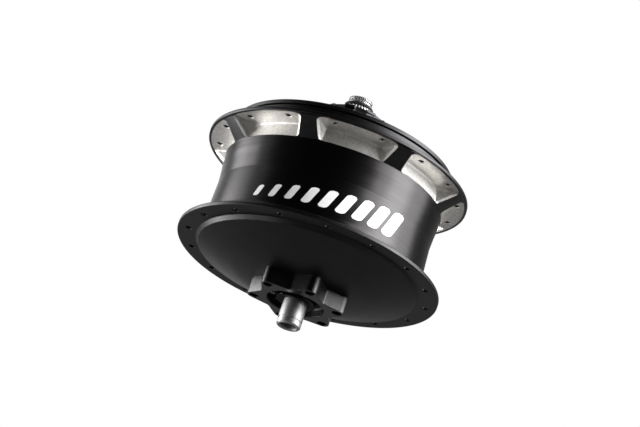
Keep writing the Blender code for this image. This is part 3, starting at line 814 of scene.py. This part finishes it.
def make_cover(mats):
    """The drive side cover, with tool notches in its raised rim."""
    satin = mats["anodised_satin"]
    profile = [(-31.4, 57.6, 0.15), (-31.4, 53.0), (-25.5, 53.0), (-25.5, 50.2),
               (-30.2, 49.5, 1.0), (-34.8, 30.0, 2.0), (-35.4, 25.5), (-35.4, 23.2),
               (-44.0, 23.2, 0.5), (-44.0, 26.6, 0.8), (-38.9, 27.2, 1.2), (-38.2, 30.0, 1.2),
               (-34.4, 53.5, 2.0), (-33.8, 57.2, 0.6), (-33.3, COVER_R, 0.3),
               (-31.7, COVER_R, 0.2)]
    cover = turned("hub_cover_skin", profile, [satin], ROUND)
    bm = bmesh.new()
    for degrees in ring_angles(COVER_NOTCHES, 11.0):
        add_block(bm, turned_box(22.0, 29.0, 1.9, degrees, 0.5), -45.0, -42.4)
    modify(cover, "DIFFERENCE", mesh_object("notch_tool", bm, [satin]))
    stands_for(settled(cover), "hub_cover")


# ---- brake end ---------------------------------------------------------------------------------

def make_axle(mats):
    """The axle, bored from both ends, with a slot for the shift pin."""
    steel = mats["bright_steel"]
    slot_half = 1.7
    bore = [(42.0, 0.0), (44.4, 4.2, 0.3), (64.2, 4.2, 0.2)]
    nose = [(AXLE_HALF, 4.95, 0.15), (AXLE_HALF, 5.7, 0.1), (64.3, NOSE_R, 0.2),
            (62.2, NOSE_R, 0.1), (62.2, 5.9, 0.1), (61.4, 5.9, 0.1), (61.4, NOSE_R, 0.1),
            (48.2, NOSE_R, 0.2), (48.2, 7.5), (41.0, 7.5, 0.2), (41.0, 8.8), (38.5, 8.8),
            (38.5, AXLE_R, 0.1)]
    clip_groove = [(20.9, AXLE_R, 0.05), (20.9, 7.1, 0.05), (19.5, 7.1, 0.05),
                   (19.5, AXLE_R, 0.05)]
    drive_end = [(-37.5, AXLE_R), (-37.5, 7.0, 0.2), (-53.2, 7.0), (-53.2, 5.2, 0.1),
                 (-61.2, 5.2, 0.1), (-61.2, SHIFT_BORE_R, 0.1), (-11.0, SHIFT_BORE_R, 0.1),
                 (-10.0, 0.0)]
    axle = turned("axle_skin", bore + nose + clip_groove + drive_end, [steel])
    bm = bmesh.new()
    add_block(bm, turned_box(-12.0, 12.0, 3.2, PIN_ANGLE, 1.2), PIN_A - slot_half,
              PIN_A + slot_half)
    modify(axle, "DIFFERENCE", mesh_object("pin_slot_tool", bm, [steel]))
    stands_for(settled(axle), "axle")


def make_brake_locknut(mats):
    """The nut inside the disc boss, with two flats for a spanner."""
    black = mats["black_steel"]
    profile = [(48.5, 6.65, 0.1), (48.5, 10.0, 0.2), (48.9, 10.3, 0.2), (51.2, 10.3, 0.3),
               (51.6, 9.8, 0.2), (51.6, 7.1, 0.1), (51.2, 6.65, 0.1)]
    nut = turned("brake_locknut_skin", profile, [black])
    bm = bmesh.new()
    for side in (-1.0, 1.0):
        outline = [(8.5 * side, -8.0), (12.0 * side, -8.0), (12.0 * side, 8.0),
                   (8.5 * side, 8.0)]
        add_block(bm, outline, 49.6, 52.6)
    modify(nut, "DIFFERENCE", mesh_object("flat_tool", bm, [black]))
    stands_for(settled(nut), "brake_locknut")


def make_snap_ring(mats):
    """The ring in the bearing bore, with a lug at each side of its gap."""
    steel = mats["bright_steel"]
    gap_angle, lug_offset = 255.0, 14.0
    profile = [(48.0, 13.2, 0.1), (48.0, 14.6, 0.1), (49.0, 14.6, 0.1), (49.0, 13.2, 0.1)]
    ring = turned("snap_ring_skin", profile, [steel])
    bm = bmesh.new()
    add_block(bm, turned_box(11.0, 16.0, 2.4, gap_angle), 47.0, 50.0)
    modify(ring, "DIFFERENCE", mesh_object("ring_gap_tool", bm, [steel]))
    bm = bmesh.new()
    for degrees in (gap_angle - lug_offset, gap_angle + lug_offset):
        add_block(bm, turned_box(11.9, 14.0, 1.3, degrees, 0.5), 48.0, 49.0, 0.1)
    modify(ring, "UNION", mesh_object("ring_lug_tool", bm, [steel]))
    stands_for(settled(ring), "bearing_snap_ring")


def make_bearing_seal(mats):
    """The seal's face in the boss, which no CAD node has."""
    profile = [(46.4, 10.2, 0.1), (46.4, 12.1, 0.1), (47.0, 12.1, 0.15), (46.8, 11.6, 0.2),
               (46.8, 10.8, 0.2), (47.0, 10.2, 0.1)]
    seal = turned("brake_bearing_seal", profile, [mats["black_rubber"]])
    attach(seal, "shell")


# ---- drive end ---------------------------------------------------------------------------------

def make_driver(mats):
    """The freewheel body: a splined sleeve with a groove for the sprocket's ring."""
    black = mats["black_steel"]
    profile = [(-28.0, 16.8), (-28.0, DRIVER_R), (-44.5, DRIVER_R), (-44.5, 21.6, 0.3),
               (-47.4, 21.6, 0.4), (-47.4, 16.0, 0.3), (DRIVER_END, 16.0, 0.3),
               (DRIVER_END, 14.0, 0.3), (-39.5, 14.0), (-39.5, 9.6), (-36.5, 9.6), (-36.5, 16.8)]
    driver = turned("freewheel_body_skin", profile, [black], segments=160)
    splines = toothed_outline(DRIVER_SPLINES, SPLINE_ROOT_R, SPLINE_TIP_R, tip_share=0.42,
                              flank_share=0.05, fillet=0.25)
    bm = bmesh.new()
    add_block(bm, splines, -47.0, DRIVER_END, 0.35)
    modify(driver, "UNION", mesh_object("spline_tool", bm, [black]))
    bore = [(DRIVER_END - 1.0, 0.0), (DRIVER_END - 1.0, 15.2, 0.0), (DRIVER_END + 0.4, 14.0, 0.0),
            (-40.0, 14.0, 0.0), (-40.0, 0.0)]
    modify(driver, "DIFFERENCE", turned("driver_bore_tool", bore, [black]))
    groove = [(-52.0, 16.5, 0.0), (-52.0, 19.0, 0.0), (-53.0, 19.0, 0.0), (-53.0, 16.5, 0.0)]
    modify(driver, "DIFFERENCE", turned("groove_tool", groove, [black]))
    stands_for(settled(driver), "freewheel_body")


def make_dust_cap(mats):
    profile = [(-49.4, 9.5), (-49.4, 13.6), (-51.6, 13.6), (-51.3, 12.4, 0.4), (-51.3, 10.6, 0.4),
               (-51.6, 9.5)]
    cap = turned("driver_dust_cap_skin", profile, [mats["black_rubber"]])
    stands_for(cap, "driver_dust_cap")


def make_drive_locknut(mats):
    """A nut with fine serrations, bored for the axle."""
    steel = mats["bright_steel"]
    bm = bmesh.new()
    serrations = toothed_outline(teeth=28, root_r=7.15, tip_r=7.6, tip_share=0.3,
                                 flank_share=0.2)
    add_block(bm, serrations, -54.9, -59.4, 0.2)
    locknut = mesh_object("drive_locknut_skin", bm, [steel])
    bore = [(-53.9, 0.0), (-53.9, 5.5, 0.0), (-60.4, 5.5, 0.0), (-60.4, 0.0)]
    modify(locknut, "DIFFERENCE", turned("nut_bore_tool", bore, [steel]))
    stands_for(settled(locknut), "drive_locknut")


def make_shift_seal(mats):
    profile = [(-59.7, 5.5, 0.1), (-59.7, 7.5, 0.2), (-60.1, 7.65, 0.2), (-60.9, 7.65, 0.3),
               (-61.2, 7.2, 0.2), (-61.2, 5.5, 0.1)]
    seal = turned("shift_seal_skin", profile, [mats["black_rubber"]])
    stands_for(seal, "shift_seal")


def add_knurl(mesh, a0, a1, twist):
    """A row of slanted teeth on the shift head, in the second material, with painted shade in the
    third material between the teeth.
    """
    teeth, depth, end_chamfer, painted_shade_depth = 36, 0.85, 0.2, 0.45
    tip_share, flank_share = 0.42, 0.1
    ends = (0.0, 1.0)
    rings = []
    for share in (0.0, 0.22, 0.5, 0.78, 1.0):
        tip_r = SHIFT_HEAD_R - (end_chamfer if share in ends else 0.0)
        a = a0 + (a1 - a0) * share
        turn = math.radians(twist * share)
        ring = []
        for x, z, _ in toothed_outline(teeth, SHIFT_HEAD_R - depth, tip_r, tip_share,
                                       flank_share):
            x, z = turned_point(x, z, turn)
            ring.append((x, a, z))
        rings.append(ring)
    bm = bmesh.new()
    bm.from_mesh(mesh)
    known = set(bm.faces)
    add_loft(bm, rings)
    added = [face for face in bm.faces if face not in known]
    bmesh.ops.recalc_face_normals(bm, faces=added)
    for face in added:
        middle = face.calc_center_median() / MM
        # faces deep between the teeth get the dark third material, which is painted shade
        gap = math.hypot(middle.x, middle.z) < SHIFT_HEAD_R - painted_shade_depth
        face.material_index = 2 if gap and len(face.verts) == 4 else 1
    bm.to_mesh(mesh)
    bm.free()
    shade(mesh)


def make_shift_shaft(mats):
    """The shift shaft: a stem with a hole for its pin, and a head with two rows of knurl."""
    steel = mats["bright_steel"]
    neck = -61.5
    row_start, row_middle, row_end, twist = -61.6, -63.2, -64.9, 6.0
    pin_half, pin_hole_r, pin_sides = 20.0, 1.5, 24
    profile = [(-AXLE_HALF, 0.0), (-AXLE_HALF, 5.2, 0.2), (-64.7, 5.5, 0.1), (neck, 5.5, 0.1),
               (neck, SHIFT_STEM_R, 0.1), (-12.6, SHIFT_STEM_R, 0.3),
               (-12.0, SHIFT_STEM_R - 0.6, 0.1), (-12.0, 0.0)]
    # the third material is painted shade in the knurl's valleys
    shaft = turned("shift_shaft_skin", profile,
                   [steel, mats["knurled_steel"], mats["black_steel"]])
    bm = bmesh.new()
    add_rod(bm, polar(pin_half, PIN_ANGLE, PIN_A), polar(pin_half, PIN_ANGLE + 180.0, PIN_A),
            pin_hole_r, pin_sides)
    modify(shaft, "DIFFERENCE", mesh_object("pin_hole_tool", bm, [steel]))
    settled(shaft)
    add_knurl(shaft.data, row_start, row_middle, twist)
    add_knurl(shaft.data, row_middle, row_end, -twist)
    stands_for(shaft, "shift_shaft")


# ---- the whole ---------------------------------------------------------------------------------

def finish_carried_nodes(mats):
    """The inner CAD nodes stay, most of them in ground steel."""
    finish_of = {"cover_bush": "bronze", "input_bush": "bronze", "cover_seal": "black_rubber",
                 "shift_pin": "bright_steel"}
    for name, node in frame["nodes"].items():
        if node.hide_render:
            continue
        mat = mats[finish_of.get(name, "ground_steel")]
        for slot in node.material_slots:
            slot.material = mat


def main():
    make_camera()
    make_stage()
    make_lights()
    mats = {name: surface(name, **finish) for name, finish in FINISHES.items()}
    for make in (make_shell, make_graphic, make_cover, make_axle, make_brake_locknut,
                 make_snap_ring, make_bearing_seal, make_driver, make_dust_cap,
                 make_drive_locknut, make_shift_seal, make_shift_shaft):
        make(mats)
    finish_carried_nodes(mats)


main()
